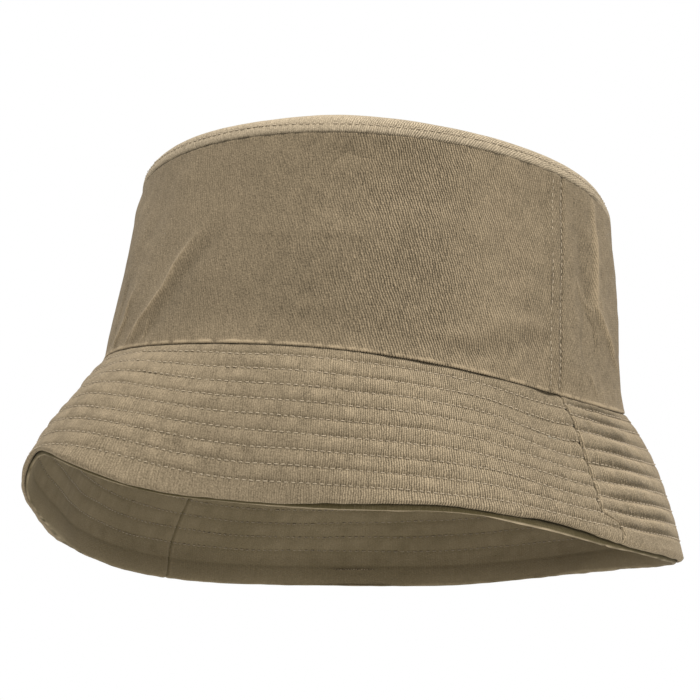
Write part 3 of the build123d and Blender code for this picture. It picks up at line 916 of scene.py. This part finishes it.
def side_stitching(seam, side, offset, name):
    """A line of the felled side seam: needle thread on the front panel, bobbin thread on the tape inside."""
    v = np.linspace(0.025, 0.975, 300)
    wander = 0.1 * ripple(v * 66, 0 * v, 411 + int(offset), 20, 60)
    a = seam + side * (offset + wander) / ARC
    rise = wall_height(a)
    base, up = wall(a, v), v * rise
    steep = unit(top_line(a) - seam_line(a))
    face = unit(outward(a) - steep * (outward(a) * steep).sum(-1, keepdims=True))
    height = wall_relief(a, up, rise, offset + 0 * up, "front")[0]
    outside = base + face * (height + 0.16)[:, None]
    inside = base - face * (TAPE_DEPTH + 0.55)
    kept = (up > 34) & (rise - up > 14)
    lines = [stitches(outside, face, 420 + int(seam)), stitches(inside[kept], -face[kept], 430 + int(seam))]
    return stitch_piece(name.replace("stitch", "stitching"), lines, name)


# ---------------------------------------------------------------- inside the crown

def band_wave(x, up):
    """How far the sweatband's free face waves in towards the head."""
    wave = 0.16 * ripple(x, up, 452, 14, 60) + 0.05 * ripple(x, up, 453, 4, 10)
    return np.clip(wave, -0.05, 1.0)


def sweatband():
    """A hemmed strip of cloth lying round the inside of the crown wall, with a soft rounded section."""
    low, high = 0.6, BAND_HEIGHT
    a, t = np.meshgrid(FULL_TURN, np.linspace(0, TAU, 41), indexing="ij")
    x = a * BAND_ARC
    along = np.cos(t) * np.minimum(1.0, 1.08 - 0.08 * np.cos(4 * t))
    flatter = np.sign(np.sin(t)) * np.abs(np.sin(t)) ** 0.35
    middle = (low + high) / 2 + 0.25 * ripple(x, 0 * x, 451, 30, 120)
    up = middle + along * (high - low) / 2
    hem = 1.0 + 0.55 * step(up, high - 5.5, high - 3.5)
    inwards = BAND_DEPTH + BAND_CLOTH / 2 - flatter * BAND_CLOTH / 2 * hem
    inwards = inwards + band_wave(x, up) * (flatter < 0)
    points = wall(a, up / wall_height(a)) - outward(a) * inwards[..., None]
    # Painted shade at the band's rolled edges and along its hem stitching.
    tone_and_shade = 0.5 - 0.18 * bump(np.abs(along), 1.0, 0.05) + 0.04 * ripple(x, up, 454, 5, 12)
    tone_and_shade = tone_and_shade - 0.25 * bump(up, high - 4.0, 0.5)
    flat = np.stack([x, up + (flatter < 0) * 60], -1)
    grids = [(points, flat, tone_and_shade, False)]
    return make_piece("sweatband_cloth", grids, BAND_TWILL, "sweatband")


def band_stitching():
    """The line that holds the sweatband down, and the hem line along its free edge."""
    lines = []
    a = np.linspace(0, 360, 1500)
    for up, seed in ((2.6, 501), (BAND_HEIGHT - 4.0, 502)):
        deep = BAND_DEPTH + BAND_CLOTH + 0.18 + band_wave(a * BAND_ARC, up + 0 * a)
        points = wall(a, up / wall_height(a)) - outward(a) * deep[:, None]
        lines.append(stitches(points, -outward(a), seed))
    return stitch_piece("band_stitching", lines, "sweatband_stitch")


def side_binding(label, centre):
    """The tape over a side seam's folded edges."""
    half = TAPE_WIDTH / 2 / ARC
    a = np.linspace(centre - half, centre + half, 29)
    a, v = np.meshgrid(a, np.linspace(0.01, 0.985, 120), indexing="ij")
    across = (a - centre) / half
    rise = wall_height(a)
    pinch = bump(np.abs(across), 2.5 / 6, 0.07)
    soft = 0.06 * ripple(across * 6, v * 66, 461, 4, 16)
    deep = TAPE_DEPTH + 0.42 * (1 - np.abs(across) ** 8) - 0.12 * pinch + soft
    points = wall(a, v) - outward(a) * deep[..., None]
    back = wall(a, v) - outward(a) * TAPE_DEPTH
    # Painted shade at the tape's stitched pinch and along its edges.
    tone_and_shade = 0.5 - 0.2 * pinch - 0.25 * bump(np.abs(across), 1.0, 0.05)
    flat = np.stack([across * 6, v * rise], -1)
    grids = [(points, flat, tone_and_shade, True), (back, flat, 0.5, False)]
    return make_piece("binding_" + label, grids, TAPE_WEAVE, "side_seam_tape_" + label)


def top_binding():
    """The tape over the top seam's folded edges, just under the crown tip."""
    a, w = np.meshgrid(FULL_TURN, np.linspace(-1, 1, 27), indexing="ij")
    rise = wall_height(a)
    up = rise - 7.0 + w * 6.0 + 0.2 * ripple(a * TOP_ARC, 0 * a, 471, 25, 90)
    pinch = 0.14 * bump(np.abs(w), 0.7, 0.08)
    deep = BAND_DEPTH + 0.42 * (1 - np.abs(w) ** 8) - pinch + 0.09 * ripple(a * TOP_ARC, up, 472, 5, 22)
    points = wall(a, up / rise) - outward(a) * deep[..., None]
    back = wall(a, up / rise) - outward(a) * (BAND_DEPTH - 0.02)
    # Painted shade at the tape's stitched pinch and along its edges.
    tone_and_shade = 0.5 - 0.2 * bump(np.abs(w), 0.7, 0.07) - 0.25 * bump(np.abs(w), 1.0, 0.05)
    flat = np.stack([a * TOP_ARC, w * 6], -1)
    grids = [(points, flat, tone_and_shade, True), (back, flat, 0.5, False)]
    make_piece("binding_top", grids, TAPE_WEAVE, "top_seam_tape")


# ---------------------------------------------------------------- build

for panel in PANELS:
    brim_upper(panel)
    brim_under(panel)
    brim_core(panel)
    crown_side(panel)
for number in range(len(ROWS)):
    brim_row(number)
crown_tip()
tip_stitching()
for label, seam, side in (("left", SEAM_LEFT, -1), ("right", SEAM_RIGHT, 1)):
    side_stitching(seam, side, SIDE_STITCH[0], f"side_stitch_{label}_near")
    side_stitching(seam, side, SIDE_STITCH[1], f"side_stitch_{label}_far")
    side_binding(label, seam + side * TAPE_SHIFT / ARC)
sweatband()
band_stitching()
top_binding()


# ---------------------------------------------------------------- floor, light and camera

def floor_material():
    s = Shader("pale_floor")
    s.shader.inputs["Roughness"].default_value = 0.9
    s.shader.inputs["Specular IOR Level"].default_value = 0.1
    s.shader.inputs["Base Color"].default_value = (0.80, 0.80, 0.79, 1.0)
    return s.material


# A head holds the hat up, so the floor lies well below it.
FLOOR_Z, FLOOR_REACH = -0.55, 6.0
mesh = bpy.data.meshes.new("floor")
corners = [(-1, -1), (1, -1), (1, 1), (-1, 1)]
mesh.from_pydata([(x * FLOOR_REACH, y * FLOOR_REACH, FLOOR_Z) for x, y in corners], [], [(0, 1, 2, 3)])
floor = bpy.data.objects.new("floor", mesh)
bpy.context.scene.collection.objects.link(floor)
mesh.materials.append(floor_material())

scene = bpy.context.scene
scene.view_settings.view_transform = "Standard"
world = bpy.data.worlds.new("studio")
world.use_nodes = True
backdrop = world.node_tree.nodes["Background"]
backdrop.inputs["Color"].default_value = (1.0, 1.0, 1.0, 1.0)
backdrop.inputs["Strength"].default_value = 1.0
scene.world = world


def soft_light(name, place, aim, width, power):
    data = bpy.data.lights.new(name, "AREA")
    data.shape, data.size, data.energy = "DISK", width, power
    light = bpy.data.objects.new(name, data)
    scene.collection.objects.link(light)
    light.location = place
    light.rotation_euler = (Vector(aim) - Vector(place)).to_track_quat("-Z", "Y").to_euler()


soft_light("overhead", (0.1, -0.15, 1.25), (0.0, 0.0, 0.04), 0.8, 22.0)
soft_light("right_front", (1.30, -0.10, 0.40), (0.0, 0.0, 0.04), 0.5, 7.0)

# The camera looks up at the hat's front left from a little below the brim.
AZIMUTH, ELEVATION, ROLL = math.radians(36.5), math.radians(-9.84), math.radians(2.38)
DISTANCE, FIELD, SENSOR = 2.373, 0.2456, 36.0
FLAT = math.cos(ELEVATION)
back = Vector((math.sin(AZIMUTH) * FLAT, -math.cos(AZIMUTH) * FLAT, math.sin(ELEVATION)))
level = Vector((math.cos(AZIMUTH), math.sin(AZIMUTH), 0.0))
above = back.cross(level)
right = level * math.cos(ROLL) + above * math.sin(ROLL)
up = above * math.cos(ROLL) - level * math.sin(ROLL)
aim = Vector((0.0, 0.0, 0.0193)) - right * 0.0063 - up * 0.0024
camera_data = bpy.data.cameras.new("camera")
camera_data.sensor_width = SENSOR
camera_data.lens = SENSOR * DISTANCE / FIELD
camera = bpy.data.objects.new("camera", camera_data)
scene.collection.objects.link(camera)
turn = Matrix((right, up, back)).transposed().to_4x4()
camera.matrix_world = Matrix.Translation(aim + back * DISTANCE) @ turn
scene.camera = camera
